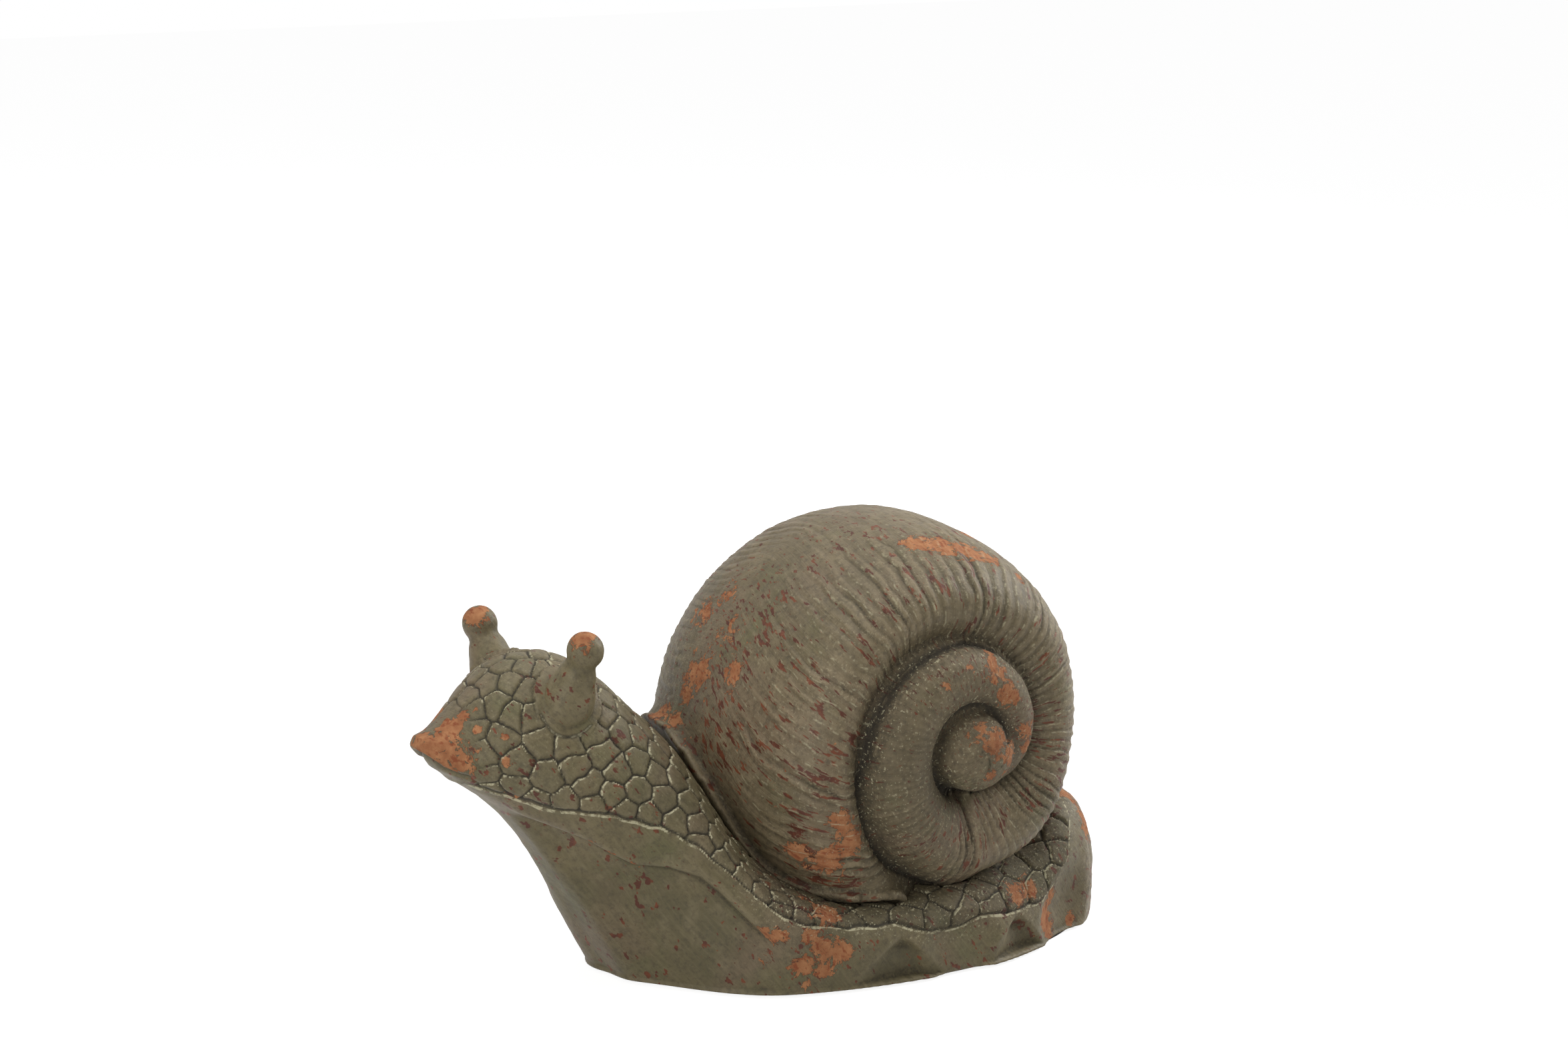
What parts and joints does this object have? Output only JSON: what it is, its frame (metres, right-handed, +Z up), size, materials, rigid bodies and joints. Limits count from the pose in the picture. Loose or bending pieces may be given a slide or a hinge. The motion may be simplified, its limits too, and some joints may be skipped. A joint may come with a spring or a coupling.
{
  "type": "snail figurine",
  "caption": "Hand-formed terracotta snail with a coiled ribbed shell, raised scaly head on a long neck, eye stalks and worn olive grey-green paint.",
  "frame": {"origin": "on the felt's face that lies on the ground, under the shell", "axes": "+X toward the tail, -X toward the head, -Y toward the side with the spiral, +Z up from the ground"},
  "size_m": [0.336, 0.1935, 0.1934],
  "materials": {
    "body_clay": "matt olive grey-green paint over orange terracotta, rubbed through on the high spots",
    "shell_clay": "matt olive grey-green paint over orange terracotta, dark wash in the seams",
    "stalk_clay": "matt paint worn to orange clay on the round ends",
    "bare_clay": "unpainted matt terracotta",
    "felt": "dark felt sheet"
  },
  "bodies": {
    "root": {"body": "body_clay", "base_slab": "bare_clay", "felt_sheet": "felt", "eye_stalk_left": "stalk_clay", "eye_stalk_right": "stalk_clay", "shell_lip": "shell_clay", "shell_body_whorl": "shell_clay", "shell_second_whorl": "shell_clay", "shell_apex_whorl": "shell_clay"}
  },
  "joints": []
}
